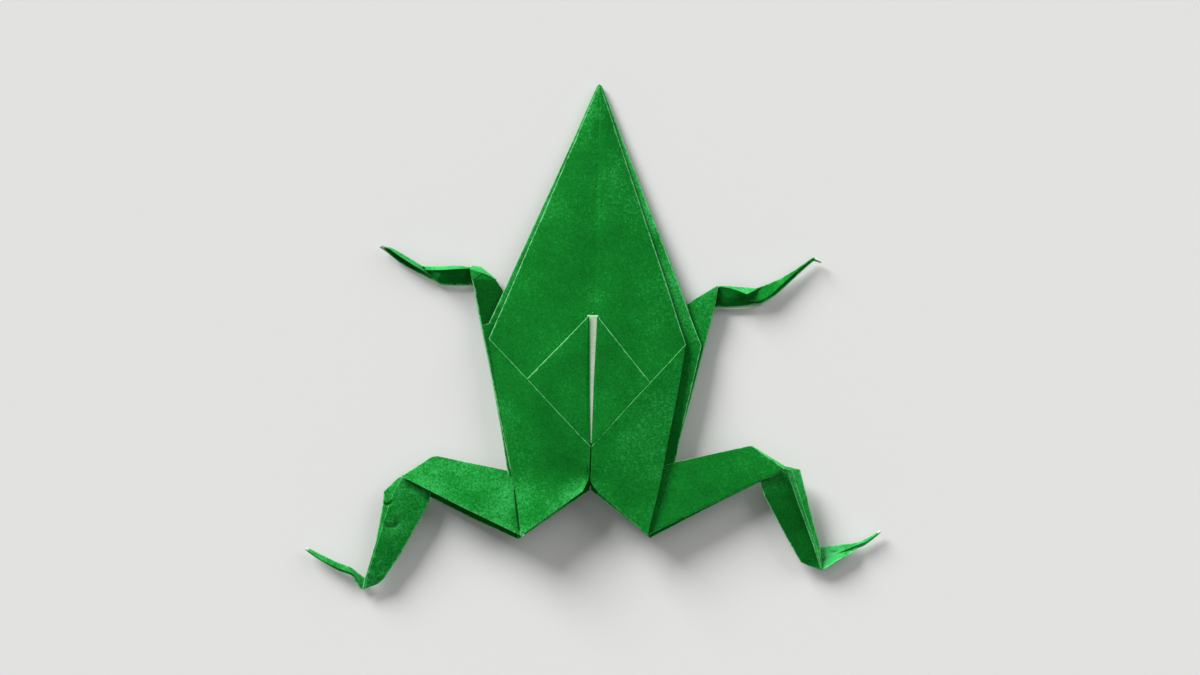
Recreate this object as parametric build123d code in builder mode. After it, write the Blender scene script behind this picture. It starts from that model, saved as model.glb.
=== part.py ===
from build123d import *
import os
from math import cos, radians, sin, sqrt, tan

# A frog folded from one square of paper, lying belly down with its head towards +Y. Millimetres.
# It is worked out with the sheet's centre, the tip of the head, over x = 0, y = 0 and the body's
# centreline running down -Y. At the end it is set on z = 0, over the middle of its own outline.
# The base has four wings on each side, like pages: the first two carry a hind leg and the last two
# an arm. Plies that lie pressed on each other are one panel with the thickness of them all.

# The sheet
sheet_side = 150.0
ply = 0.11  # one thickness of the paper

# The creases divide each of the sheet's corners by halves
wing_angle = 22.5  # between the centreline and a wing's outer edge, at the head's tip
limb_angle = 11.25  # between a limb's centre crease and its open edge, at the limb's tip
spine_gap = 0.12  # between the centreline and the creases that run beside it

# Heights above the belly's plane where the wings are widest
front_centre_height = 3.4
front_wing_height = {"left": 3.0, "right": 2.7}
leg_crease_height = 1.9
second_wing_height = 1.65
middle_page_height = 1.5
third_wing_height = 1.4

# Width of a wing, 1 being flat: the front right wing leans down and looks narrower
front_wing_ratio = {"left": 0.98, "right": 0.88}
second_wing_ratio = {"left": 1.03, "right": 1.01}
rear_wing_ratio = {"left": 1.0, "right": 1.02}

# Pressed plies
limb_plies = 4
rear_wall_plies = 2
flap_plies = 3
pocket_plies = 1

# Flaps with raw edges that meet at the centreline
flap_slit_width = 0.3
pocket_slit_width = 0.5
pocket_top_width = 1.1
pocket_rise = 0.45  # of the front pocket flap's raw edges off the face, at the top

# Hind legs: length of the seam between the narrowing flaps down to the hips, then lengths of shin
# and foot, bearings of thigh, shin and foot from straight outwards, positive towards the head, and
# heights of the centre crease above the belly's plane at knee, ankle and toe
hip_seam = 6.04
leg_lengths = {"left": (18.6, 10.8), "right": (17.2, 11.5)}
leg_bearings = {"left": (10.5, -65.5, 22.5), "right": (16.0, -63.0, 21.0)}
leg_heights = (2.6, 1.6, 0.7)
leg_crease_loss = 0.4  # length that each sharp crease of a leg takes up
hip_crease_turn = {"left": 4.5, "right": 0.0}  # of the hip's crease, upwards from half way

# Width of each wall of a leg at knee and ankle, 1 being flat: the front one leans in, so that the
# rear one shows beside the shin
leg_front_ratios = {"left": (0.66, 1.0), "right": (0.77, 1.0)}
leg_rear_ratios = {"left": (1.05, 1.0), "right": (1.0, 1.0)}

# Arms, folded back up between the last two wings: the same values
shoulder_seam = 5.5
arm_lengths = {"left": (8.0, 9.2), "right": (9.2, 9.8)}
arm_bearings = {"left": (64.5, -4.0, 32.0), "right": (63.0, -0.5, 36.5)}
arm_heights = (0.9, 0.8, 0.6)
arm_crease_loss = 1.5
arm_front_ratios = {"left": (0.7, 0.78), "right": (0.66, 0.55)}
arm_rear_ratios = {"left": (0.74, 0.82), "right": (0.7, 0.65)}

toe_width = 0.4  # of the blunt end of a limb

# Worked out from the sheet
corner_distance = sheet_side / sqrt(2)
wing_slope = tan(radians(wing_angle))
limb_slope = tan(radians(limb_angle))
wing_distance = corner_distance * limb_slope / (wing_slope + limb_slope)
wing_half_width = wing_distance * wing_slope
flap_top_distance = wing_distance + wing_half_width
hip_distance = flap_top_distance + hip_seam
shoulder_distance = flap_top_distance + shoulder_seam
pocket_top_distance = sheet_side * (sqrt(2) - 1) / 2
pocket_side_distance = (pocket_top_distance + flap_top_distance) / 2
pocket_half_width = pocket_side_distance - pocket_top_distance


def out(side):
    """The sign of x on a side of the frog."""
    return {"left": -1, "right": 1}[side]


def climb(distance, height_at_wings):
    """The height, at a distance down the centreline, of a crease that starts at the head's tip."""
    return height_at_wings * distance / wing_distance


def on_plane(corners, x, y):
    """The point over x, y in the plane through three corners."""
    first, second, third = corners
    normal = (second - first).cross(third - first)
    rise = normal.X * (x - first.X) + normal.Y * (y - first.Y)
    return Vector(x, y, first.Z - rise / normal.Z)


def panel(corners, plies, lift=0):
    """A flat panel between creases: its outline in its own plane, with its thickness up and down."""
    raised = [corner + Vector(0, 0, lift) for corner in corners]
    edge = raised[1] - raised[0]
    diagonal = raised[2] - raised[0]
    plane = Plane(origin=raised[0], x_dir=edge, z_dir=edge.cross(diagonal))
    with BuildSketch(plane) as outline:
        with BuildLine():
            Polyline([plane.to_local_coords(corner) for corner in raised], close=True)
        make_face()
    extrude(outline.sketch, amount=plies * ply / 2, both=True, dir=(0, 0, 1))


def crease_run(remaining, bearing, next_bearing):
    """A reverse fold's crease, from the limb's centre crease to its open edge: length and bearing."""
    half_turn = radians(abs(next_bearing - bearing) / 2)
    length = remaining * sin(radians(limb_angle)) / sin(half_turn + radians(limb_angle))
    return length, radians((bearing + next_bearing) / 2)


def base_crease(side, start_distance, bearing, ratio, turn=0):
    """The plan point where a limb's first crease meets the narrowed edge of its wing."""
    length, crease = crease_run(corner_distance - start_distance, -90, bearing)
    crease += radians(turn)
    return out(side) * length * cos(crease) * ratio, length * sin(crease) * ratio - start_distance


def limb_wall(side, base, base_open, limb, ratios):
    """One wall of a limb, from its base to its toe, as panels that meet at the reverse folds."""
    ridge = base
    open_edge = base_open
    remaining = limb["length"]
    creases = len(limb["bearings"])
    lengths = [remaining - sum(limb["lengths"]) - creases * limb["crease_loss"], *limb["lengths"]]
    for index, bearing in enumerate(limb["bearings"]):
        ahead = Vector(out(side) * cos(radians(bearing)), sin(radians(bearing)), 0)
        next_ridge = ridge + ahead * lengths[index]
        next_ridge.Z = limb["heights"][index]
        remaining -= lengths[index] + limb["crease_loss"]
        if index == creases - 1:
            toe = next_ridge + (open_edge - ridge).normalized() * toe_width
            panel([ridge, next_ridge, toe, open_edge], limb_plies)
            return
        run, crease = crease_run(remaining, bearing, limb["bearings"][index + 1])
        x = next_ridge.X + out(side) * run * cos(crease) * ratios[index]
        y = next_ridge.Y + run * sin(crease) * ratios[index]
        next_open = on_plane([ridge, open_edge, next_ridge], x, y)
        panel([ridge, next_ridge, next_open, open_edge], limb_plies)
        ridge = next_ridge
        open_edge = next_open


def pocket_flap(side, face, ratio, slit_rise, lift):
    """Half of the small flap with its tip to the head and its raw edge at the centreline."""
    x = out(side)
    tip = on_plane(face, x * pocket_top_width / 2, -pocket_top_distance - pocket_top_width / 2)
    tip.Z += slit_rise
    wide = on_plane(face, x * pocket_half_width * ratio[side], -pocket_side_distance)
    low = on_plane(face, x * pocket_slit_width / 2, pocket_slit_width / 2 - flap_top_distance)
    panel([tip, wide, low], pocket_plies, lift)


def narrowing_flap(side, wing, face_top, base_open, bottom_distance, lift):
    """Half of the pair of flaps that meet at the centreline below the face's 45 degree edges."""
    plane = [wing, face_top, base_open]
    x = out(side) * flap_slit_width / 2
    top = on_plane(plane, x, x * out(side) - flap_top_distance)
    bottom = on_plane(plane, x, -bottom_distance)
    panel([wing, top, bottom, base_open], flap_plies, lift)


def wing_tip(side, ratio, height):
    return Vector(out(side) * wing_half_width * ratio[side], -wing_distance, height)


def page(side, wing, crease_foot, start_distance, bearing, ratio, turn=0):
    """One wall of a wing, from the head's tip down to its limb's first crease."""
    tip = Vector(out(side) * spine_gap, 0, 0)
    x, y = base_crease(side, start_distance, bearing, ratio[side], turn)
    base_open = on_plane([tip, crease_foot, wing], x, y)
    panel([tip, wing, base_open, crease_foot], 1)
    return base_open


with BuildPart() as folded_sheet:
    head_tip = Vector(0, 0, 0)
    front_top = Vector(0, -flap_top_distance, climb(flap_top_distance, front_centre_height))
    rear_top = Vector(0, -flap_top_distance, 0)
    leg_length = corner_distance - hip_distance
    arm_length = corner_distance - shoulder_distance
    for side in ("left", "right"):
        leg = {
            "length": leg_length,
            "lengths": leg_lengths[side],
            "bearings": leg_bearings[side],
            "heights": leg_heights,
            "crease_loss": leg_crease_loss,
        }
        arm = {
            "length": arm_length,
            "lengths": arm_lengths[side],
            "bearings": arm_bearings[side],
            "heights": arm_heights,
            "crease_loss": arm_crease_loss,
        }
        x = out(side) * spine_gap
        front_wing = wing_tip(side, front_wing_ratio, front_wing_height[side])
        second_wing = wing_tip(side, second_wing_ratio, second_wing_height)
        third_wing = wing_tip(side, rear_wing_ratio, third_wing_height)
        rear_wing = wing_tip(side, rear_wing_ratio, 0)

        # Pages from the top: the hind leg's two, the inner pair and the arm's upper one
        hip = Vector(x, -hip_distance, climb(hip_distance, leg_crease_height))
        leg_start = (hip, hip_distance, leg_bearings[side][0])
        turn = hip_crease_turn[side]
        leg_front = page(side, front_wing, *leg_start, front_wing_ratio, turn)
        leg_rear = page(side, second_wing, *leg_start, second_wing_ratio, turn)
        shoulder = Vector(x, -shoulder_distance, 0)
        arm_bearing = arm_bearings[side][0]
        inner = Vector(x, -shoulder_distance, climb(shoulder_distance, middle_page_height))
        page(side, second_wing, inner, shoulder_distance, arm_bearing, second_wing_ratio)
        page(side, third_wing, inner, shoulder_distance, arm_bearing, rear_wing_ratio)
        arm_front = page(side, third_wing, shoulder, shoulder_distance, arm_bearing, rear_wing_ratio)
        arm_rear = Vector(arm_front.X, arm_front.Y, 0)

        # The front face, smooth from side to side, with its pocket and narrowing flaps
        face = [head_tip, front_wing, front_top]
        panel(face, 1)
        pocket_flap(side, face, front_wing_ratio, pocket_rise, ply / 2)
        narrowing_flap(side, front_wing, front_top, leg_front, hip_distance, 0)

        # The belly: the last page pressed on the rear face, with the same flaps below
        belly_end = Vector(0, -shoulder_distance, 0)
        panel([head_tip, rear_wing, arm_rear, belly_end], rear_wall_plies)
        rear_face = [head_tip, rear_wing, rear_top]
        pocket_flap(side, rear_face, rear_wing_ratio, 0, -ply * rear_wall_plies / 2)
        flap_lift = ply * (1 - flap_plies - rear_wall_plies) / 2
        narrowing_flap(side, rear_wing, rear_top, arm_rear, shoulder_distance, flap_lift)

        limb_wall(side, hip, leg_front, leg, leg_front_ratios[side])
        limb_wall(side, hip, leg_rear, leg, leg_rear_ratios[side])
        limb_wall(side, shoulder, arm_front, arm, arm_front_ratios[side])
        limb_wall(side, shoulder, arm_rear, arm, arm_rear_ratios[side])

# Set the frog on z = 0 over the middle of its outline
box = folded_sheet.part.bounding_box()
middle = box.center()
folded_sheet.part = Pos(-middle.X, -middle.Y, -box.min.Z) * folded_sheet.part

folded_sheet.part.label = "folded_sheet"
os.makedirs("parts", exist_ok=True)
export_step(folded_sheet.part, "parts/folded_sheet.step")
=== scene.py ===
from math import cos, exp, pi, radians, sin, sqrt, tan

import bmesh
import bpy
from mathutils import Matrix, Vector, noise


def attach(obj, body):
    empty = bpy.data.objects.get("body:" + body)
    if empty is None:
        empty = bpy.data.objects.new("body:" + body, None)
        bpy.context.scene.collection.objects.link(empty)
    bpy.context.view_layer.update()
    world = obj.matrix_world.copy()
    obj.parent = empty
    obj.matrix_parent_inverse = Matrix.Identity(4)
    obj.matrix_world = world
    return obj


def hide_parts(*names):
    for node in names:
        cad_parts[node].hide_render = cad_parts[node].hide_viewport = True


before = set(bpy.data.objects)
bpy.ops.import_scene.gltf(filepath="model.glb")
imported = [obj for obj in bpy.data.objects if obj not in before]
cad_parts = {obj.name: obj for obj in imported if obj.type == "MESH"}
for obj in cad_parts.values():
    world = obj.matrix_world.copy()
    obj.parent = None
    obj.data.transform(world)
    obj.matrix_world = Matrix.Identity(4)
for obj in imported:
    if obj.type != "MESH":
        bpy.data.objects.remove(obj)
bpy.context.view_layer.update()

# A frog folded from one square of green paper, lying on its belly. Points are in millimetres, with the
# tip of the head over x = 0, y = 0, the body running down -Y and z = 0 in the middle of its rear face.
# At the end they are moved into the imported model's frame, in metres.
model_place = (-0.5356, 34.4099, 0.385)
millimetre = 0.001

# The sheet, and the distances that its crease pattern gives, measured from the tip of the head
sheet_side = 150.0
ply = 0.11
corner_distance = sheet_side / sqrt(2)
wing_slope = tan(radians(22.5))
limb_slope = tan(radians(11.25))
wing_distance = corner_distance * limb_slope / (wing_slope + limb_slope)
wing_half_width = wing_distance * wing_slope
flap_top_distance = wing_distance + wing_half_width
pocket_top_distance = sheet_side * (sqrt(2) - 1) / 2

# The blunt tip of the head, and the heights of the plies stacked in it, from the belly up
tip_half_width = 0.34
tip_roundness = 0.24
tip_levels = {
    "rear": 0.0,
    "arm": 0.15,
    "third": 0.22,
    "inner": 0.3,
    "second": 0.38,
    "leg": 0.46,
    "front": 0.56,
}
front_tip_height = 0.68  # on the centreline

# The mesh: columns and rows in each span of a wall. Two of them lie close to each outer edge and round
# it: the first at a share of the wall's half thickness, the second at all of it. Neither lies further
# in than its own share of the span.
columns = 12
rows = 12
first_row_depth = 0.3
first_row_limit = 0.03
second_row_limit = 0.08
weld_distance = 0.0008
table_level = -0.38  # no paper lies lower
far_away = 10.0  # a distance at which no wear shows

# Material slots of the sheet's two sides
green_paper = 0
white_paper = 1

# The slow unevenness of the sheet: the lengths of its waves, where in the noise each starts, and how
# far they move the paper in plan and, for the plies that lie higher, in height
slow_wave = 9.0
quick_wave = 3.7
sideways_wave = 8.0
slow_start = Vector((3.1, 7.7, 0.4))
quick_start = Vector((1.9, 4.3, 8.2))
sideways_start = Vector((9.5, 0.6, 5.1))
sideways_shift = 0.10
lengthways_shift = 0.08
slow_lift = 0.24
quick_lift = 0.07

# The small crumples of each wall: the lengths of their waves, how strong the fine ones are beside the
# broad ones, and how near to an edge they fade out
broad_crumple = 2.6
fine_crumple = 1.1
fine_strength = 0.6
crumple_fade = 0.8

dent_softness = 0.2  # how softly the ring of a dent fades

# The paper is one mesh. Its points keep how far worn folds and cut edges are, and the painted light and
# shade that brighten or darken them
sheet = bmesh.new()
to_fold = sheet.verts.layers.float.new("to_fold")
to_raw = sheet.verts.layers.float.new("to_raw")
painted_light_layer = sheet.verts.layers.float.new("painted_light_layer")


def ease(share):
    """Draws rows closer together at both ends of a span."""
    return (1 - cos(pi * share)) / 2


def share_of(index, count, size, half, opens, closes):
    """The share of a span at which a row lies. Two rows lie close to each edge that gets rounded.

    opens and closes say whether the span begins and ends at such an edge.
    """
    edge = [0.0, first_row_limit, second_row_limit]
    if size > 0:
        edge[1] = min(first_row_depth * half / size, first_row_limit)
        edge[2] = min(half / size, second_row_limit)
    first = 2 if opens else 0
    last = count - 2 if closes else count
    low = edge[2] if opens else 0.0
    high = 1 - edge[2] if closes else 1.0
    if index < first:
        return edge[index]
    if index > last:
        return 1 - edge[count - index]
    return low + (high - low) * ease((index - first) / (last - first))


def mesh_place(number, count, sizes, half):
    """Where a row or a column of a wall's mesh lies, counted in spans of the given sizes."""
    span = min(number // count, len(sizes) - 1)
    share = share_of(
        number - span * count, count, sizes[span], half, opens=span == 0, closes=span == len(sizes) - 1
    )
    return span + share


def spot(line, along, curved):
    """The point that lies so many stations along a line of points."""
    index = min(int(along), len(line) - 2)
    part = along - index
    start = line[index]
    stop = line[index + 1]
    if not curved:
        return start.lerp(stop, part)
    before = line[max(index - 1, 0)]
    after = line[min(index + 2, len(line) - 1)]
    leave = (stop - before) / 2
    arrive = (after - start) / 2
    square = part * part
    cube = square * part
    return (
        start * (2 * cube - 3 * square + 1)
        + leave * (cube - 2 * square + part)
        + stop * (3 * square - 2 * cube)
        + arrive * (cube - square)
    )


def between(near, far, across, down):
    """A line that runs between two others, a share across in plan and a share down in height."""
    line = []
    for start, stop in zip(near, far):
        point = Vector(start).lerp(Vector(stop), across)
        point.z = start[2] + (stop[2] - start[2]) * down
        line.append(point)
    return line


def waver(place):
    """The slow unevenness of a sheet folded by hand. It is the same for plies that lie together."""
    flat = Vector((place.x, place.y, 0.0))
    slow = noise.noise(flat / slow_wave + slow_start)
    quick = noise.noise(flat / quick_wave + quick_start)
    sideways = noise.noise(flat / sideways_wave + sideways_start)
    height = min(max(place.z, 0), 1)
    lift = height * (slow_lift * slow + quick_lift * quick)
    return Vector((sideways_shift * sideways, lengthways_shift * slow, lift))


def crumples(place, seed):
    """The small crumples of one wall. The seed and the numbers beside it only set walls apart."""
    broad = noise.noise(place / broad_crumple + Vector((seed, seed * 1.7, 2.3)))
    fine = noise.noise(place / fine_crumple + Vector((seed * 0.6, seed, 5.9)))
    return broad + fine_strength * fine


def dent_depth(place, dents):
    """Depth of short curved dents, each a half ring round a point and open towards the head."""
    depth = 0
    for x, y, radius, deep in dents:
        ring = sqrt((place.x - x) ** 2 + (place.y - y) ** 2)
        below = min(max((y - place.y) / radius, 0), 1)
        depth += deep * below * exp(-(((ring - radius) / dent_softness) ** 2))
    return depth


def edge_distances(place, across, widths, first, last):
    """How far a place in a wall lies from each of the wall's edges, and from its nearest crease."""
    band = min(int(across), len(widths) - 1)
    travelled = sum(widths[:band]) + widths[band] * (across - band)
    creases = [abs(sum(widths[:index]) - travelled) for index in range(1, len(widths))]
    return {
        "near": travelled,
        "far": sum(widths) - travelled,
        "start": (place - first).length,
        "end": (place - last).length,
        "creases": min(creases + [far_away]),
    }


def worn_distance(distances, breadths):
    """How far the nearest worn edge is, each distance measured in how broadly that edge is worn."""
    measured = [distances[name] / breadth for name, breadth in (breadths or {}).items()]
    return min(measured + [far_away])


def painted_light_at(painted_light, along):
    """The painted light and shade of a wall, as a brightness, at a place along it."""
    if isinstance(painted_light, (int, float)):
        return painted_light
    station = min(int(along), len(painted_light) - 2)
    return painted_light[station] + (painted_light[station + 1] - painted_light[station]) * (along - station)


def add_wall(
    lines, plies=1, painted_light=1.0, folds=None, raw=None, puff=0.0, crumple=0.0, paper=green_paper,
    curved_along=False, curved_across=False, lift=0.0, over=None, dents=(), fineness=1, seed=0.0,
):
    """A wall of paper laid over lines of points, closed all round with its real thickness.

    The lines lie side by side and run the same way, from the edge called start to the one called end.
    The first line is the edge called near and the last the one called far; those between them are
    creases. The points of a line are its stations.

    plies: how many plies lie pressed together in the wall
    tone: painted light and shade, as a brightness, one number or one for each station
    folds, raw: how broadly the worn folds and the cut edges show, out of near, far, start, end, creases
    puff, crumple: how far its middle bulges up, and how deep its small crumples are
    paper: which side of the sheet shows
    curved_along, curved_across: whether curves join its points, instead of straight lines
    lift, over: what is added to its height, as one number and as a function of x and y
    dents: the x, y, radius and depth of each dent
    fineness: how many times finer than usual its mesh is
    seed: where in the noise its crumples lie
    """
    lines = [[Vector(point) for point in line] for line in lines]
    spans_along = len(lines[0]) - 1
    spans_across = len(lines) - 1
    half = plies * ply / 2
    span_columns = columns * fineness
    span_rows = rows * fineness
    wall_columns = span_columns * spans_across
    wall_rows = span_rows * spans_along
    first_points = [line[0] for line in lines]
    last_points = [line[-1] for line in lines]
    lengths = []
    for station in range(spans_along):
        near_length = (lines[0][station] - lines[0][station + 1]).length
        far_length = (lines[-1][station] - lines[-1][station + 1]).length
        lengths.append((near_length + far_length) / 2)
    shells = []
    for upper in (1, -1):
        made = bmesh.ops.create_grid(
            sheet, x_segments=wall_columns, y_segments=wall_rows, size=1
        )["verts"]
        for vert in made:
            column = round((vert.co.x + 1) / 2 * wall_columns)
            row = round((vert.co.y + 1) / 2 * wall_rows)
            along = mesh_place(row, span_rows, lengths, half)
            crossing = [spot(line, along, curved_along) for line in lines]
            widths = [(stop - start).length for start, stop in zip(crossing, crossing[1:])]
            across = mesh_place(column, span_columns, widths, half)
            place = spot(crossing, across, curved_across)
            first = spot(first_points, across, curved_across)
            last = spot(last_points, across, curved_across)
            distances = edge_distances(place, across, widths, first, last)
            edge = min(distances[name] for name in ("near", "far", "start", "end"))
            if over:
                place.z += over(place.x, place.y)
            place.z += lift + puff * sin(pi * across / spans_across) * sin(pi * along / spans_along)
            place.z -= dent_depth(place, dents)
            marks = crumples(place, seed)
            place += waver(place)
            place.z += crumple * min(edge / crumple_fade, 1) * marks
            round_off = min(edge / half, 1)
            place.z += upper * half * sqrt(1 - (1 - round_off) ** 2)
            place.z = max(place.z, table_level)
            vert.co = place
            vert[to_fold] = worn_distance(distances, folds)
            vert[to_raw] = worn_distance(distances, raw)
            vert[painted_light_layer] = painted_light_at(painted_light, along)
        shells += made
    faces = {face for vert in shells for face in vert.link_faces}
    for face in faces:
        face.material_index = paper
        face.smooth = True
    bmesh.ops.remove_doubles(sheet, verts=shells, dist=weld_distance)
    bmesh.ops.recalc_face_normals(sheet, faces=[face for face in faces if face.is_valid])


# On the centreline: where the wings are widest, and where the narrowing flaps start below the pocket
widest = -34.4
flaps_start = -48.66

# Outer corners of the wings' plies, from the front to the rear, and of the leg's page further down
wings = {
    "left": {
        "front": (-14.0, -34.6, 3.0),
        "second": [(-14.1, -32.6, 2.2), (-15.1, -32.9, 2.2)],
        "third": (-14.3, -34.2, 1.35),
        "rear": (-14.3, widest, 0),
        "page": [(-12.6, -44.8, 1.8), (-11.3, -51.9, 1.8)],
    },
    "right": {
        "front": (12.45, -34.7, 2.9),
        "second": [(14.3, -34.2, 2.2), (14.6, -34.9, 2.1)],
        "third": (14.5, widest, 1.35),
        "rear": (14.5, widest, 0),
        "page": [(12.9, -42.6, 2.3), (11.5, -50.2, 2.1)],
    },
}

# Where the narrowed edges end at the limbs, outside and on the centreline
hips = {"left": (-9.1, -61.0, 2.6), "right": (7.85, -60.5, 3.8)}
rear_hips = {"left": (-9.45, -61.6, 3.0), "right": (8.3, -61.0, 2.8)}
arm_open = (9.9, -56.4)
hip = (0, -54.7, 2.7)
shoulder = (0, -54.2, 0.2)

# The front face's highest point, where the narrowing flaps start, and how far the face bulges
front_top = (0, -flap_top_distance, 4.8)
face_puff = 0.12


def face_height(x, y):
    """Height of the front face at a place on it."""
    front = wings["left" if x < 0 else "right"]["front"]
    outward = x / front[0]
    down = (y - front[1] * outward) / front_top[1]
    share = outward + down
    across = outward / share if share > 0 else 0
    foot = front_top[2] + (front[2] - front_top[2]) * across**2
    tip = front_tip_height + (tip_levels["front"] - front_tip_height) * across**2
    return tip + (foot - tip) * share + face_puff * sin(pi * across) * sin(pi * min(share, 1))


def head(name, sign, back=0.0):
    """Where a ply starts at the blunt tip of the head: on the centreline or at its rounded corner."""
    return (sign * tip_half_width, -tip_roundness * abs(sign) - back, tip_levels[name])


# The belly: rear face and last page pressed together, its pocket and its narrowing flaps
belly_foot = (0, shoulder[1], 0)
belly_pocket_lift = -0.165
belly_flap_lift = -0.25
add_wall([
    [head("rear", -1), wings["left"]["rear"], (-arm_open[0], arm_open[1], 0)],
    [head("rear", 0), (0, widest, 0), belly_foot],
    [head("rear", 1), wings["right"]["rear"], (arm_open[0], arm_open[1], 0)],
], plies=2, folds=dict(near=1, far=1, end=1), seed=1)

centre_gap = 0.1  # from the centreline to the creases of the pages
for side, sign in (("left", -1), ("right", 1)):
    wing = wings[side]
    open_x = sign * arm_open[0]
    open_y = arm_open[1]
    pocket_top = (sign * 0.5, -pocket_top_distance - 0.5, 0)
    pocket_foot = (sign * 0.1, -48.4, 0)
    pocket_corner = (sign * 8.8, -39.9, 0)
    add_wall([[pocket_top, pocket_foot], [pocket_top, pocket_corner]],
             folds=dict(far=1), raw=dict(near=0.3), lift=belly_pocket_lift, seed=2)
    add_wall([
        [(sign * 0.15, flaps_start, 0), (sign * 0.15, *belly_foot[1:])],
        [wing["rear"], (open_x, open_y, 0)],
    ], plies=2.0, folds=dict(far=1, near=1, start=1), lift=belly_flap_lift, seed=3)

    # the pages between the belly and the front, from the bottom up
    beside = sign * centre_gap
    arm_crease = [head("arm", 0), (beside, widest, 0.17), (beside, *shoulder[1:])]
    inner_crease = [head("inner", 0), (beside, widest, 1.5), (beside, shoulder[1], 2.3)]
    leg_crease = [
        head("leg", 0), (beside, widest, 1.95), (beside, -35.0, 1.96), (beside, -42, 2.2),
        (beside, -50, 2.5), (beside, *hip[1:]),
    ]
    third_edge = [head("third", sign), wing["third"]]
    second_edge = [head("second", sign), *wing["second"]]
    add_wall([arm_crease, [*third_edge, (open_x, open_y, 0.95)]],
             folds=dict(far=1), puff=0.15, seed=4)
    add_wall([inner_crease, [*third_edge, (open_x, open_y, 1.5)]],
             folds=dict(far=1), puff=0.1, seed=5)
    add_wall([
        [inner_crease[0], inner_crease[1], (beside, -35.0, 1.52), inner_crease[2]],
        [*second_edge, (open_x, open_y, 1.8)],
    ], folds=dict(far=1), puff=0.05, seed=6)
    # the leg's page: painted light brightens it near the head, and painted shade darkens it towards the
    # hip
    add_wall([leg_crease, [*second_edge, *wing["page"], rear_hips[side]]],
             painted_light=[1.6, 1.1, 1.05, 0.9, 0.85, 0.85], folds=dict(far=1, end=1), puff=-0.1, seed=7)
    front_crease = [leg_crease[0], leg_crease[1], leg_crease[-1]]
    add_wall([front_crease, [head("front", sign, back=0.2), wing["front"], hips[side]]],
             folds=dict(far=0.15, end=1), puff=-0.15, seed=8)

# The front face, a little brighter at the head by painted light. From here to the speck, the points'
# heights are added to the face's own
face_tip = 0.85 * tip_half_width
add_wall([
    [(-face_tip, -0.5, 0), (*wings["left"]["front"][:2], 0), (-13.7, -35.3, 0)],
    [(0, -0.28, 0), (0, flaps_start, 0), (0, -49.2, 0)],
    [(face_tip, -0.5, 0), (*wings["right"]["front"][:2], 0), (12.2, -35.4, 0)],
], painted_light=[1.1, 0.92, 0.95], folds=dict(near=1, far=1.2, start=1), over=face_height, crumple=0.03, seed=9)

# The white side of the sheet, which shows in the slit of the pocket
add_wall([
    [(-0.98, -31.15, 0.08), (-0.6, -40, 0.08), (-0.3, -48.3, 0.08)],
    [(0.5, -31.15, 0.08), (0.45, -40, 0.08), (0.15, -48.3, 0.08)],
], folds=dict(start=2.5), over=face_height, paper=white_paper, seed=10)

# The pocket's left and right halves, where the sheet's own edges meet at the centreline, a little
# darkened by painted shade
add_wall([
    [(-0.7, -31.35, 0.26), (-0.37, -42, 0.22), (-0.13, -48.6, 0.18)],
    [(-0.86, -31.35, 0.45), (-0.8, -42, 0.36), (-0.5, -48.3, 0.22)],
    [(-0.92, -31.35, 0.45), (-4.85, -35.65, 0.2), (-8.75, -39.9, 0.16)],
], painted_light=0.93, folds=dict(far=1), crumple=0.03, over=face_height, seed=11)
add_wall([
    [(0.32, -31.35, 0.26), (0.13, -40, 0.22), (0.0, -48.6, 0.18)],
    [(0.45, -31.35, 0.45), (0.5, -40, 0.36), (0.4, -48.3, 0.22)],
    [(0.5, -31.35, 0.45), (4.1, -35.65, 0.2), (7.75, -39.95, 0.16)],
], painted_light=0.95, folds=dict(far=1), crumple=0.03, over=face_height, seed=12)

# A speck of loose fibre above the pocket
add_wall([
    [(-0.4, -30.75, 0.12), (-0.34, -30.98, 0.1)],
    [(-0.12, -30.75, 0.12), (-0.16, -30.98, 0.1)],
], painted_light=1.9, over=face_height, seed=15)

# The narrowing flaps below the face. The left one is bent over the ridge of the thigh beneath it, and
# brightened there by painted light
flaps = {
    "left": dict(
        near=[(-0.12, -48.7, 5.02), (-0.12, -51.2, 4.8), (-0.14, -52.8, 4.3), (-1.0, -54.8, 4.6)],
        far=[(-14.0, -34.6, 3.16), (-12.0, -45.4, 3.2), (-10.2, -54.2, 3.15), (-9.1, -61.0, 5.0)],
        painted_light=[1.0, 1.0, 1.1, 1.4], folds=dict(start=1.1, far=0.18, end=0.6)),
    "right": dict(
        near=[(0.02, -48.7, 5.02), (0.02, -51.5, 4.9), (0.06, -53.5, 4.55), (1.0, -54.8, 4.4)],
        far=[(12.45, -34.7, 3.08), (10.75, -45.5, 3.6), (9.2, -54.4, 3.95), (7.85, -60.5, 4.5)],
        painted_light=1.0, folds=dict(start=0.8, far=0.5, end=0.6)),
}
for index, flap in enumerate(flaps.values()):
    middle = between(flap["near"], flap["far"], across=0.5, down=0.24)
    add_wall([flap["near"], middle, flap["far"]], plies=1.3, curved_along=True, curved_across=True,
             painted_light=flap["painted_light"], folds=flap["folds"], puff=0.08, crumple=0.04, seed=13 + index)

# A dark strip beside the left flap, where it crosses the thigh: painted shadow under the flap's edge
add_wall([
    [(-10.28, -54.9, 3.1), (-9.92, -57.8, 3.9), (-9.45, -60.3, 4.6)],
    [(-9.7, -54.7, 3.1), (-9.2, -57.8, 3.9), (-8.7, -60.4, 4.7)],
], painted_light=0.3, seed=16)

# A knob of paper at the left hip's tip, brightened by painted light, its cut end pale
add_wall([
    [(-9.3, -60.5, 4.95), (-9.2, -60.95, 5.0), (-8.95, -61.15, 4.95)],
    [(-8.9, -60.4, 5.05), (-8.75, -60.7, 5.1), (-8.55, -60.9, 5.05)],
], plies=1.5, painted_light=[1.5, 1.9, 2.2], raw=dict(end=0.45), crumple=0.08, seed=17)
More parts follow.
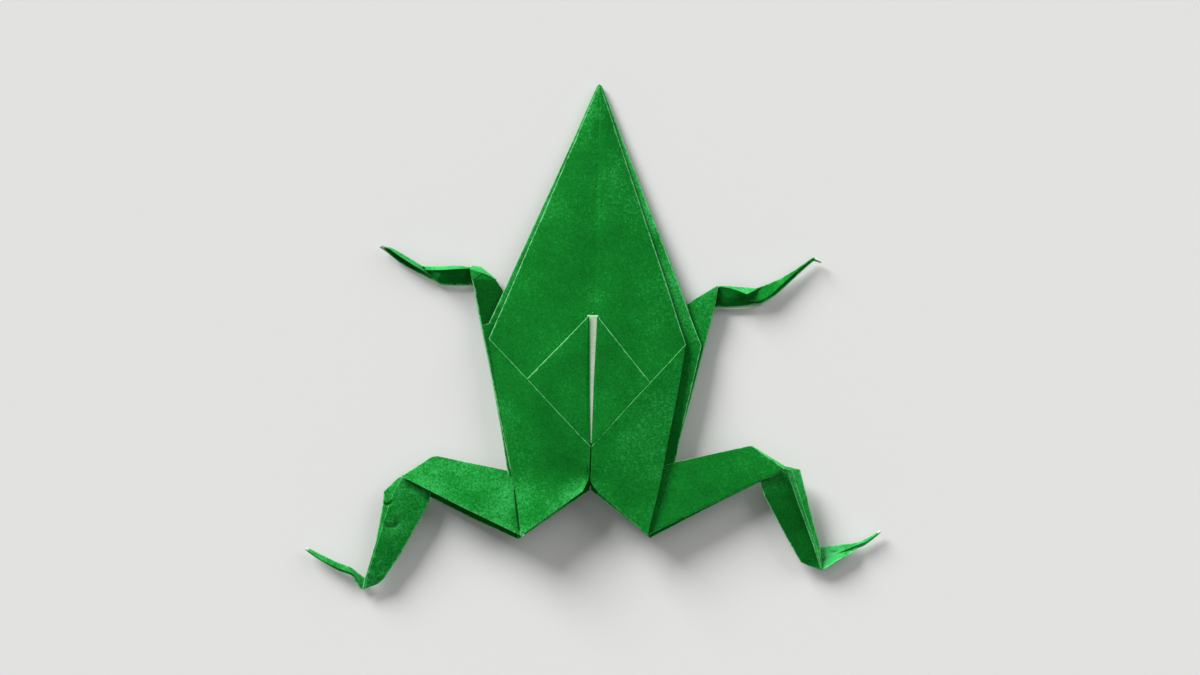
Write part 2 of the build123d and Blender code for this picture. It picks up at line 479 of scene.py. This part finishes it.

# Thighs, shins and upper arms. Most are a front and a rear wall between their ridge and open edges.
# Their tones paint light and shade onto them
all_round = dict(near=0.8, far=0.8, start=0.8, end=0.8)
limbs = [
    # left thigh, front with a crease beside its ridge and brightened by painted light, and rear
    dict(lines=[
        [(-0.2, -54.7, 2.3), (-10.5, -52.5, 1.6), (-20.7, -50.6, 1.4), (-21.5, -50.75, 1.4)],
        [(-8.3, -60.5, 3.7), (-16.5, -56.9, 3.8), (-23.6, -53.8, 2.95), (-25.05, -53.1, 2.45)],
        [(-9.15, -61.0, 4.3), (-17.0, -57.4, 4.15), (-24.0, -54.1, 3.4), (-25.55, -53.4, 2.9)],
    ], painted_light=1.3, folds=dict(near=0.4, far=0.8, start=0.8, end=1.5)),
    dict(lines=[
        [(-0.2, -54.7, 2.2), (-10.5, -52.55, 1.3), (-20.7, -50.8, 1.0), (-21.5, -50.95, 1.0)],
        [(-9.45, -61.6, 2.8), (-15.6, -59.0, 2.2), (-21.4, -56.25, 1.3), (-25.4, -54.4, 1.1)],
    ], folds=all_round),
    # left shin, front and rear
    dict(lines=[
        [(-21.0, -52.5, 1.5), (-21.5, -56.1, 1.8), (-21.75, -57.3, 1.9),
         (-25.1, -63.6, 1.8), (-27.5, -67.35, 1.5), (-28.3, -68.1, 1.1)],
        [(-25.3, -53.6, 2.2), (-26.2, -55.4, 2.5), (-26.85, -57.1, 2.5),
         (-28.2, -61.7, 2.3), (-29.65, -66.7, 2.0), (-29.95, -68.7, 1.3)],
        [(-25.8, -53.6, 2.0), (-27.7, -55.5, 2.2), (-27.85, -57.6, 2.2),
         (-28.6, -62.0, 2.0), (-30.0, -67.0, 1.8), (-30.4, -68.8, 1.2)],
    ], painted_light=[1.25, 1.25, 1.15, 1.2, 1.3, 1.45], folds=dict(near=1.2, far=1.2, creases=0.2), fineness=2,
         dents=((-26.6, -59.3, 1.0, 0.5), (-27.3, -56.7, 0.65, 0.4))),
    dict(lines=[
        [(-21.2, -53.0, 0.9), (-21.8, -57.0, 1.0), (-25.2, -63.6, 0.95), (-28.2, -67.7, 0.9)],
        [(-26.0, -54.2, 1.0), (-27.8, -57.0, 0.95), (-28.9, -63.0, 0.9), (-30.2, -68.2, 0.8)],
    ], folds=all_round),
    # right thigh, front and rear
    dict(lines=[
        [(0.2, -54.3, 2.6), (11.8, -50.6, 2.4), (20.9, -48.3, 2.4), (21.6, -48.2, 2.4)],
        [(7.9, -60.5, 3.8), (17.2, -55.8, 3.2), (22.8, -52.95, 3.0), (26.2, -51.2, 3.0)],
    ], painted_light=[0.92, 0.92, 1.0, 1.05], folds=dict(near=0.4, far=0.6, start=0.8, end=1.3)),
    dict(lines=[
        [(0.2, -54.3, 2.2), (11.8, -50.65, 1.8), (20.9, -48.4, 1.5), (21.7, -48.5, 1.5)],
        [(8.3, -60.9, 2.8), (17.3, -56.0, 2.1), (22.8, -53.1, 1.9), (26.0, -51.6, 1.9)],
    ], folds=all_round),
    # right shin: its main face, darkened by painted shade, and the strip that runs from the knee to the
    # ankle, brightened by painted highlight
    dict(lines=[
        [(22.2, -50.5, 2.0), (23.15, -53.9, 2.3), (23.45, -54.9, 2.3),
         (25.9, -59.3, 2.0), (28.55, -63.75, 1.7), (29.4, -64.15, 1.4)],
        [(26.7, -51.4, 1.0), (27.5, -53.4, 0.8), (28.0, -54.95, 0.75),
         (29.5, -59.1, 0.75), (30.95, -63.4, 0.9), (31.4, -64.8, 1.05)],
    ], folds=dict(near=1.0, end=0.8), painted_light=[1.1, 1.1, 0.65, 0.56, 0.6, 0.9]),
    dict(lines=[
        [(21.0, -48.9, 2.0), (25.3, -51.4, 2.25), (26.4, -51.55, 2.5), (27.9, -55.5, 1.3),
         (29.0, -58.3, 1.1), (30.35, -61.95, 1.1), (31.3, -64.75, 1.1)],
        [(21.3, -48.5, 2.1), (25.8, -51.1, 2.45), (27.1, -51.4, 2.65), (28.4, -55.3, 1.9),
         (29.4, -58.2, 1.6), (30.65, -61.8, 1.4), (31.4, -64.6, 1.2)],
        [(21.6, -48.15, 2.1), (26.15, -50.8, 2.55), (28.15, -51.25, 2.8), (29.2, -54.95, 2.6),
         (30.05, -58.1, 2.3), (31.05, -61.5, 1.9), (31.45, -64.4, 1.2)],
    ], folds=dict(near=1, far=1, creases=0.3), painted_light=[1.7, 1.7, 1.5, 1.35, 1.35, 1.35, 1.2]),
    # left upper arm, front and rear; the front is darkened by painted shade
    dict(lines=[
        [(-0.2, -54.2, 0.45), (-12.3, -28.2, 0.7), (-13.35, -26.7, 0.9), (-15.5, -24.95, 0.5)],
        [(-9.9, -56.4, 0.6), (-16.25, -28.0, 1.9), (-16.6, -26.7, 2.0), (-17.0, -25.05, 1.0)],
    ], painted_light=[0.85, 0.6, 0.7, 0.9], folds=dict(near=0.8, far=1.3, end=0.8)),
    dict(lines=[
        [(-0.2, -54.2, 0.3), (-12.3, -28.3, 0.3), (-13.4, -26.8, 0.3), (-15.55, -25.05, 0.3)],
        [(-9.9, -56.4, 0.5), (-16.2, -28.7, 0.5), (-16.55, -26.8, 0.5), (-16.85, -25.0, 0.5)],
    ], folds=all_round),
    # right upper arm, front and rear
    dict(lines=[
        [(0.2, -54.2, 0.45), (12.5, -29.4, 0.9), (13.1, -28.9, 0.9), (16.55, -26.75, 1.4)],
        [(9.9, -56.4, 0.9), (16.1, -30.2, 1.7), (16.3, -29.2, 1.7), (16.65, -26.9, 1.6)],
    ], folds=all_round),
    dict(lines=[
        [(0.2, -54.2, 0.3), (12.5, -29.5, 0.4), (13.1, -28.95, 0.4), (16.5, -26.95, 0.4)],
        [(9.9, -56.4, 0.5), (16.2, -30.2, 0.4), (16.35, -29.2, 0.4), (16.65, -27.05, 0.4)],
    ], folds=all_round),
]
for index, wall in enumerate(limbs):
    add_wall(plies=2.4, puff=0.1, crumple=0.07, seed=20 + index, **wall)

# Forearms, which were pinched and curled by hand. Their lines run from the lower edge to the upper
forearms = [
    # left forearm, its painted shade lifting towards the wrist
    dict(lines=[
        [(-16.0, -27.5, 0.2), (-17.0, -27.55, 0.3), (-18.7, -27.6, 0.35), (-20.7, -27.55, 0.4),
         (-21.3, -27.3, 0.5), (-22.4, -26.6, 0.35), (-23.6, -25.7, 0.3)],
        [(-16.2, -26.3, 0.5), (-17.1, -26.3, 0.8), (-18.7, -26.4, 1.2), (-20.4, -26.5, 1.3),
         (-21.3, -26.4, 1.4), (-22.3, -25.9, 0.9), (-23.6, -25.4, 0.5)],
        [(-16.4, -25.3, 0.5), (-17.1, -25.3, 0.9), (-18.7, -25.4, 1.6), (-20.4, -25.4, 1.8),
         (-21.6, -25.45, 1.6), (-22.6, -25.35, 1.3), (-23.6, -25.2, 1.0)],
        [(-16.5, -25.0, 0.3), (-17.1, -24.95, 0.6), (-18.7, -24.9, 1.1), (-20.4, -24.95, 1.3),
         (-21.8, -25.0, 1.1), (-22.8, -25.05, 0.9), (-23.7, -25.0, 0.7)],
    ], painted_light=[0.75, 0.75, 0.75, 0.9, 1.1, 1.1, 1.1], folds=dict(near=2, far=0.9), curved_along=True),
    # lip of the left forearm, pale with painted highlight
    dict(lines=[
        [(-16.95, -25.0, 0.8), (-18.7, -24.85, 1.4), (-20.9, -25.0, 1.6), (-23.2, -25.05, 1.0)],
        [(-17.0, -25.3, 1.1), (-18.75, -25.4, 2.0), (-20.9, -25.6, 2.1), (-22.9, -25.65, 1.3)],
    ], painted_light=[1.5, 2.0, 1.9, 1.5], folds=dict(near=1.3), curved_along=True),
    # the left elbow's small slanting tuck: its lip, pale with painted highlight, and the face below it
    dict(lines=[
        [(-17.0, -25.0, 1.2), (-16.5, -24.85, 1.0), (-15.5, -24.9, 0.75),
         (-14.4, -25.72, 0.85), (-13.25, -26.6, 0.95)],
        [(-16.9, -25.35, 1.55), (-16.15, -25.6, 1.5), (-15.35, -25.85, 1.35),
         (-14.45, -26.15, 1.2), (-13.3, -26.75, 1.1)],
    ], painted_light=[1.6, 1.8, 2.0, 1.9, 1.6], folds=dict(near=1.3)),
    dict(lines=[
        [(-16.95, -25.3, 1.5), (-16.15, -25.55, 1.42), (-15.4, -25.82, 1.3)],
        [(-16.6, -26.8, 2.2), (-15.9, -26.4, 1.85), (-15.35, -25.9, 1.35)],
    ], painted_light=1.0, folds=dict(far=0.7)),
    # right forearm, its faces darkened by painted shade
    dict(lines=[
        [(15.9, -29.6, 0.5), (16.5, -29.6, 0.5), (18.0, -29.6, 0.5), (19.4, -29.5, 0.5),
         (20.3, -29.4, 0.55), (21.2, -29.2, 0.6), (22.2, -29.0, 0.6)],
        [(16.1, -28.2, 0.8), (16.7, -28.2, 0.9), (18.1, -28.3, 1.2), (19.3, -28.5, 1.3),
         (20.4, -28.7, 1.1), (21.2, -28.6, 0.8), (22.1, -28.6, 0.7)],
        [(16.35, -27.1, 1.0), (16.9, -27.0, 1.2), (18.2, -27.15, 1.5), (19.2, -27.45, 1.9),
         (20.3, -27.85, 2.3), (21.1, -27.8, 1.5), (21.9, -27.3, 0.9)],
        [(16.4, -26.95, 0.9), (16.9, -26.8, 1.1), (18.2, -26.8, 1.2), (19.5, -26.85, 1.1),
         (20.7, -26.85, 0.9), (21.7, -26.95, 0.8), (22.6, -26.7, 0.6)],
    ], painted_light=[0.65, 0.62, 0.7, 0.82, 0.7, 0.7, 0.8], folds=dict(near=0.8, far=0.9)),
    # facet along the right forearm's upper edge, bright with painted highlight
    dict(lines=[
        [(16.8, -26.76, 1.1), (18.2, -26.74, 1.25), (19.5, -26.82, 1.15),
         (20.7, -26.86, 0.95), (21.8, -26.95, 0.85)],
        [(16.9, -26.95, 1.35), (18.2, -27.1, 1.65), (19.4, -27.4, 2.05),
         (20.5, -27.85, 2.45), (21.75, -27.2, 1.1)],
    ], painted_light=[1.1, 1.4, 1.8, 1.9, 1.7], folds=dict(near=1.3)),
    # lower wall of the right forearm, its cut edge showing
    dict(lines=[
        [(15.9, -29.85, 0.3), (17.5, -29.95, 0.3), (19.5, -29.92, 0.3),
         (21.4, -29.78, 0.3), (22.5, -29.35, 0.4)],
        [(16.1, -28.5, 0.3), (17.5, -28.5, 0.3), (19.5, -28.5, 0.3),
         (21.2, -28.5, 0.3), (22.6, -28.4, 0.4)],
    ], raw=dict(near=2.2)),
]
for index, wall in enumerate(forearms):
    add_wall(plies=1.6, puff=0.05, crumple=0.06, seed=40 + index, **wall)

# Feet, and the dark lower faces of the hands, pinched and curled in the same way. Painted light
# brightens the feet; the hands' lower faces are dark partly from their slope and partly from painted
# shade
ends = [
    # left foot
    dict(lines=[
        [(-29.6, -68.5, 0.6), (-30.6, -68.8, 0.7), (-31.3, -67.9, 0.9), (-32.0, -67.0, 0.9),
         (-33.3, -66.6, 0.7), (-34.7, -65.95, 0.6), (-36.7, -64.85, 0.5), (-38.25, -63.75, 0.8)],
        [(-29.3, -67.9, 0.8), (-30.4, -68.1, 1.0), (-31.0, -67.4, 1.3), (-31.9, -66.6, 1.5),
         (-33.2, -66.2, 1.4), (-34.6, -65.65, 1.3), (-36.6, -64.6, 1.1), (-38.2, -63.55, 1.0)],
        [(-28.9, -67.3, 0.7), (-30.1, -67.2, 0.7), (-30.9, -66.75, 0.8), (-32.0, -65.95, 0.8),
         (-33.2, -65.5, 0.7), (-34.4, -65.05, 0.6), (-36.3, -64.2, 0.5), (-38.0, -63.35, 0.8)],
    ], painted_light=1.55, raw=dict(end=0.6)),
    # right foot
    dict(lines=[
        [(30.6, -64.6, 0.9), (31.6, -64.75, 1.1), (32.6, -64.15, 1.3), (33.8, -63.3, 1.4),
         (35.4, -62.35, 1.2), (36.3, -61.75, 0.7), (37.4, -61.2, 0.5), (39.35, -59.6, 0.8)],
        [(30.4, -63.6, 0.7), (31.4, -63.4, 0.85), (32.5, -62.95, 0.9), (33.9, -62.4, 0.85),
         (35.3, -61.85, 0.7), (36.35, -61.4, 0.75), (37.55, -60.85, 0.85), (39.35, -59.45, 0.95)],
        [(30.4, -63.4, 0.7), (31.4, -63.15, 0.85), (32.5, -62.75, 0.9), (33.9, -62.25, 0.95),
         (35.25, -61.65, 1.1), (36.4, -61.15, 1.1), (37.6, -60.6, 1.0), (39.35, -59.35, 1.0)],
        [(30.2, -62.3, 0.4), (31.2, -61.75, 0.5), (32.4, -61.5, 0.5), (33.9, -61.25, 0.5),
         (35.4, -61.05, 0.5), (36.6, -60.75, 0.5), (37.8, -60.15, 0.5), (39.25, -59.2, 0.8)],
    ], painted_light=[1.3, 1.8, 2.1, 1.9, 1.6, 1.75, 1.6, 1.5], raw=dict(end=0.8), fineness=2,
         dents=((31.2, -62.9, 0.6, 0.35), (33.0, -61.9, 0.5, 0.2), (35.6, -61.0, 0.4, 0.2))),
    # left hand, lower face
    dict(lines=[
        [(-21.2, -27.25, 0.3), (-22.0, -26.95, 0.3), (-23.0, -26.45, 0.3), (-24.3, -25.85, 0.3),
         (-26.4, -24.7, 0.3), (-28.4, -23.2, 0.5), (-29.25, -22.7, 0.8)],
        [(-21.3, -26.9, 0.5), (-22.1, -26.4, 0.7), (-23.25, -25.5, 0.95), (-24.9, -24.6, 1.05),
         (-27.0, -23.3, 0.9), (-28.3, -22.55, 0.8), (-28.85, -22.35, 0.8)],
    ], painted_light=[1.1, 1.1, 0.8, 0.42, 0.36, 0.4, 0.8], raw=dict(end=1.1)),
    # right hand, lower face
    dict(lines=[
        [(20.6, -29.1, 0.5), (22.2, -29.15, 0.6), (23.6, -28.4, 0.5), (24.9, -27.4, 0.35),
         (27.4, -25.0, 0.35), (29.2, -23.35, 0.5), (29.68, -23.2, 0.8), (30.38, -23.45, 0.8)],
        [(20.7, -28.4, 0.8), (22.15, -28.35, 0.9), (23.4, -27.7, 1.1), (24.85, -26.4, 1.0),
         (27.2, -24.35, 0.85), (29.15, -22.9, 0.9), (29.7, -22.85, 1.1), (30.5, -23.25, 1.1)],
    ], painted_light=[1.1, 0.95, 0.95, 0.7, 0.5, 0.5, 1.2, 1.6], raw=dict(end=1.0)),
]
for index, wall in enumerate(ends):
    add_wall(plies=1.8, folds=dict(near=1.8, far=1.5, creases=0.15), puff=0.05, crumple=0.06,
             curved_along=True, seed=50 + index, **wall)

# The bands of the left and the right hand, bright with painted highlight, folded over their dark lower
# faces
bands = [
    dict(lines=[
        [(-21.2, -27.1, 0.6), (-22.0, -26.6, 0.9), (-23.2, -25.75, 1.3),
         (-24.8, -24.85, 1.5), (-26.7, -23.65, 1.4), (-27.85, -22.85, 1.1)],
        [(-21.6, -26.5, 0.6), (-22.3, -25.9, 0.6), (-23.4, -25.05, 0.6),
         (-25.0, -24.1, 0.6), (-26.95, -23.0, 0.7), (-27.95, -22.55, 0.9)],
    ], painted_light=[1.1, 1.2, 1.5, 1.7, 1.8, 1.8]),
    dict(lines=[
        [(20.7, -28.7, 1.0), (22.2, -28.7, 1.25), (23.5, -28.0, 1.45), (25.0, -26.6, 1.35),
         (27.3, -24.45, 1.15), (29.17, -22.95, 1.0), (29.7, -22.95, 1.2), (30.5, -23.3, 1.2)],
        [(20.9, -27.2, 0.5), (22.4, -26.7, 0.5), (23.9, -26.05, 0.5), (25.2, -25.4, 0.5),
         (27.3, -24.1, 0.5), (29.15, -22.76, 0.6), (29.72, -22.7, 0.9), (30.56, -23.12, 0.9)],
    ], painted_light=[1.1, 0.95, 0.95, 1.1, 0.8, 0.85, 1.3, 1.6], raw=dict(end=1.9)),
]
for index, wall in enumerate(bands):
    add_wall(plies=1.8, folds=dict(near=0.3, far=1.5), puff=0.05, crumple=0.06, curved_along=True,
             seed=60 + index, **wall)

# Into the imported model's frame, in metres
bmesh.ops.translate(sheet, verts=sheet.verts, vec=model_place)
bmesh.ops.scale(sheet, verts=sheet.verts, vec=(millimetre,) * 3)

mesh = bpy.data.meshes.new("folded_paper")
sheet.to_mesh(mesh)
sheet.free()
folded_paper = bpy.data.objects.new("folded_paper", mesh)
bpy.context.scene.collection.objects.link(folded_paper)


def linear(value):
    """One channel of a colour from 0 to 255, as Blender's shaders take it. The rule is sRGB's own."""
    value /= 255
    return value / 12.92 if value <= 0.04045 else ((value + 0.055) / 1.055) ** 2.4


def srgb(red, green, blue):
    """A colour whose channels run from 0 to 255, as Blender's shaders take it."""
    return linear(red), linear(green), linear(blue), 1.0


def material(name):
    """A new material, and the shader in it."""
    made = bpy.data.materials.new(name)
    made.use_nodes = True
    return made, made.node_tree.nodes["Principled BSDF"]


def feed(tree, socket, value):
    """Gives a socket a fixed value, or what comes out of another node."""
    if isinstance(value, (int, float, tuple)):
        socket.default_value = value
    else:
        tree.links.new(value, socket)


def math_node(tree, operation, *values):
    """Arithmetic on numbers, or on what comes out of other nodes."""
    node = tree.nodes.new("ShaderNodeMath")
    node.operation = operation
    for socket, value in zip(node.inputs, values):
        feed(tree, socket, value)
    return node.outputs["Value"]


def spread(tree, value, before, after):
    """Stretches a value from the range before to the range after, and stops at its ends."""
    node = tree.nodes.new("ShaderNodeMapRange")
    node.inputs["From Min"].default_value = before[0]
    node.inputs["From Max"].default_value = before[1]
    node.inputs["To Min"].default_value = after[0]
    node.inputs["To Max"].default_value = after[1]
    tree.links.new(value, node.inputs["Value"])
    return node.outputs["Result"]


def mixed(tree, share, first, second, blend="MIX"):
    """Two colours, mixed or multiplied. The share is the second one's."""
    node = tree.nodes.new("ShaderNodeMix")
    node.data_type = "RGBA"
    node.blend_type = blend
    for name, value in (("Factor", share), ("A", first), ("B", second)):
        feed(tree, node.inputs[name], value)
    return node.outputs["Result"]


def attribute(tree, name):
    """What the walls' points say of themselves: how near wear is, and the painted light and shade on
    them.
    """
    node = tree.nodes.new("ShaderNodeAttribute")
    node.attribute_name = name
    return node.outputs["Fac"]


# Noise in the paper, at three sizes: how many marks to a millimetre, and how many layers of detail.
# Its place moves all three over the paper.
cloud_size = (0.13, 2)
mottle_size = (1.6, 4)
fibre_size = (3.8, 3)
noise_place = (-5, -12, 0)
noise_roughness = 0.6
usual_noise = (0.3, 0.7)

# How far each noise brightens and darkens the paper
cloud_depth = 0.2
mottle_depth = 0.1
fibre_depth = 0.26

# The raised texture: the fibres' share beside the mottle's, its strength, and its height in metres
fibre_share = 0.6
bump_strength = 0.4
bump_distance = 0.00007

# Painted highlight: the brightest painted light turns the paper paler. The brightness at which it
# starts and is full, and its greatest share of the colour
highlight_brightness = (1.12, 2.0)
most_highlight = 0.42

# Scuffs: the mottle at which they start and are full, and their greatest share
scuffed_mottle = (0.7, 0.8)
most_scuffed = 0.25

# Worn folds and cut edges: the least and the greatest breadth in millimetres, where a wall says 1, the
# part of a breadth in which they fade out, and their greatest share
fold_breadths = (0.03, 0.17)
fold_fade = (0.5, 1.5)
most_folded = 0.6
raw_breadths = (0.2, 0.9)
raw_fade = (0.7, 1.3)
most_raw = 0.85

paper_roughness = (0.78, 0.95)
paper_specular = 0.03


def noise_nodes(tree):
    """The paper's noise, laid over it in millimetres: cloudiness, mottle and single fibres."""
    place = tree.nodes.new("ShaderNodeTexCoord")
    size = tree.nodes.new("ShaderNodeMapping")
    size.inputs["Scale"].default_value = (1 / millimetre,) * 3
    size.inputs["Location"].default_value = noise_place
    tree.links.new(place.outputs["Object"], size.inputs["Vector"])
    made = []
    for scale, detail in (cloud_size, mottle_size, fibre_size):
        texture = tree.nodes.new("ShaderNodeTexNoise")
        texture.inputs["Scale"].default_value = scale
        texture.inputs["Detail"].default_value = detail
        texture.inputs["Roughness"].default_value = noise_roughness
        tree.links.new(size.outputs["Vector"], texture.inputs["Vector"])
        made.append(texture.outputs["Fac"])
    return made


def wear(tree, distance, mottle, breadths, fade, most):
    """The share of worn colour: most beside an edge, and none past a border that the mottle frays."""
    frayed = spread(tree, mottle, usual_noise, breadths)
    measured = math_node(tree, "DIVIDE", attribute(tree, distance), frayed)
    return spread(tree, measured, fade, (most, 0.0))


def paper_material(name, colour, highlight_colour, fold_colour, raw_colour, mottling):
    """Soft felted paper: cloudy and mottled, brightened and darkened by painted light and shade, paler
    in its painted highlights, and pale where it is folded or cut.
    """
    made, shader = material(name)
    tree = made.node_tree
    cloud, mottle, fibre = noise_nodes(tree)
    # each wall's painted light and shade, times the paper's cloudy mottle and fibres
    painted_light_and_mottle = attribute(tree, "painted_light_layer")
    for source, depth in ((cloud, cloud_depth), (mottle, mottle_depth), (fibre, fibre_depth)):
        depth *= mottling
        swing = spread(tree, source, usual_noise, (1 - depth, 1 + depth))
        painted_light_and_mottle = math_node(tree, "MULTIPLY", painted_light_and_mottle, swing)
    grey = tree.nodes.new("ShaderNodeCombineColor")
    for channel in ("Red", "Green", "Blue"):
        tree.links.new(painted_light_and_mottle, grey.inputs[channel])
    body = mixed(tree, 1.0, colour, grey.outputs["Color"], "MULTIPLY")

    # painted highlight: where the painted light is brightest, the colour turns paler
    painted_highlight = spread(tree, painted_light_and_mottle, highlight_brightness, (0.0, most_highlight))
    scuffed = spread(tree, mottle, scuffed_mottle, (0.0, most_scuffed))
    folded = wear(tree, "to_fold", mottle, fold_breadths, fold_fade, most_folded)
    cut = wear(tree, "to_raw", mottle, raw_breadths, raw_fade, most_raw)
    body = mixed(tree, painted_highlight, body, highlight_colour)
    body = mixed(tree, scuffed, body, fold_colour)
    body = mixed(tree, folded, body, fold_colour)
    body = mixed(tree, cut, body, raw_colour)
    tree.links.new(body, shader.inputs["Base Color"])

    tree.links.new(spread(tree, mottle, usual_noise, paper_roughness), shader.inputs["Roughness"])
    shader.inputs["Specular IOR Level"].default_value = paper_specular
    bump = tree.nodes.new("ShaderNodeBump")
    bump.inputs["Strength"].default_value = bump_strength
    bump.inputs["Distance"].default_value = bump_distance
    tree.links.new(math_node(tree, "MULTIPLY_ADD", fibre, fibre_share, mottle), bump.inputs["Height"])
    tree.links.new(bump.outputs["Normal"], shader.inputs["Normal"])
    return made


# The second colour of each side is the pale colour of its painted highlights
green_side = paper_material(
    "green_side", colour=srgb(16, 119, 38), highlight_colour=srgb(95, 210, 135),
    fold_colour=srgb(135, 228, 155), raw_colour=srgb(205, 225, 205), mottling=1.0,
)
white_side = paper_material(
    "white_side", colour=srgb(178, 200, 172), highlight_colour=srgb(200, 220, 200),
    fold_colour=srgb(165, 225, 168), raw_colour=srgb(235, 240, 230), mottling=0.4,
)
mesh.materials.append(green_side)
mesh.materials.append(white_side)

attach(folded_paper, "root")
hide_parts("folded_sheet")

# A plain pale floor, which reaches this far from the middle, in metres
floor_reach = 3
floor_mesh = bmesh.new()
bmesh.ops.create_grid(floor_mesh, x_segments=1, y_segments=1, size=floor_reach)
floor_data = bpy.data.meshes.new("floor")
floor_mesh.to_mesh(floor_data)
floor_mesh.free()
floor = bpy.data.objects.new("floor", floor_data)
bpy.context.scene.collection.objects.link(floor)
floor_finish, floor_shader = material("floor_finish")
floor_shader.inputs["Base Color"].default_value = (0.8, 0.8, 0.79, 1)
floor_shader.inputs["Roughness"].default_value = 0.9
floor_shader.inputs["Specular IOR Level"].default_value = 0.1
floor_data.materials.append(floor_finish)

# Soft studio light, stronger from the left of the head. The backdrop looks paler than it lights
backdrop_light = 0.24
backdrop_look = 0.765
world = bpy.data.worlds.new("studio")
bpy.context.scene.world = world
world.use_nodes = True
backdrop = world.node_tree.nodes["Background"]
backdrop.inputs["Color"].default_value = (1, 1, 1, 1)
seen = world.node_tree.nodes.new("ShaderNodeLightPath").outputs["Is Camera Ray"]
brightness = spread(world.node_tree, seen, (0, 1), (backdrop_light, backdrop_look))
world.node_tree.links.new(brightness, backdrop.inputs["Strength"])


def soft_light(name, place, softness, strength):
    """A distant light aimed from its place at the frog. softness is its breadth in degrees."""
    data = bpy.data.lights.new(name, "SUN")
    data.angle = radians(softness)
    data.energy = strength
    made = bpy.data.objects.new(name, data)
    bpy.context.scene.collection.objects.link(made)
    made.location = place
    made.rotation_euler = (-Vector(place)).to_track_quat("-Z", "Y").to_euler()


soft_light("head_left_light", place=(-0.65, 0.8, 0.5), softness=28, strength=4.1)
soft_light("head_right_light", place=(0.7, 0.6, 0.6), softness=40, strength=0.8)

# The camera looks straight down, turned as the photograph is. The frame's width is what it sees at the
# paper, in metres
camera_height = 0.62
camera_shift = (0.00032, 0.00026)
camera_turn = 1.353  # degrees
paper_height = 0.003
frame_width = 0.1614
sensor_width = 36.0
nearest_seen = 0.01
camera_data = bpy.data.cameras.new("camera")
camera_data.sensor_width = sensor_width
camera_data.lens = sensor_width * (camera_height - paper_height) / frame_width
camera_data.clip_start = nearest_seen
camera = bpy.data.objects.new("camera", camera_data)
bpy.context.scene.collection.objects.link(camera)
camera.location = (*camera_shift, camera_height)
camera.rotation_euler = (0, 0, radians(camera_turn))
bpy.context.scene.camera = camera

bpy.context.scene.view_settings.view_transform = "Standard"
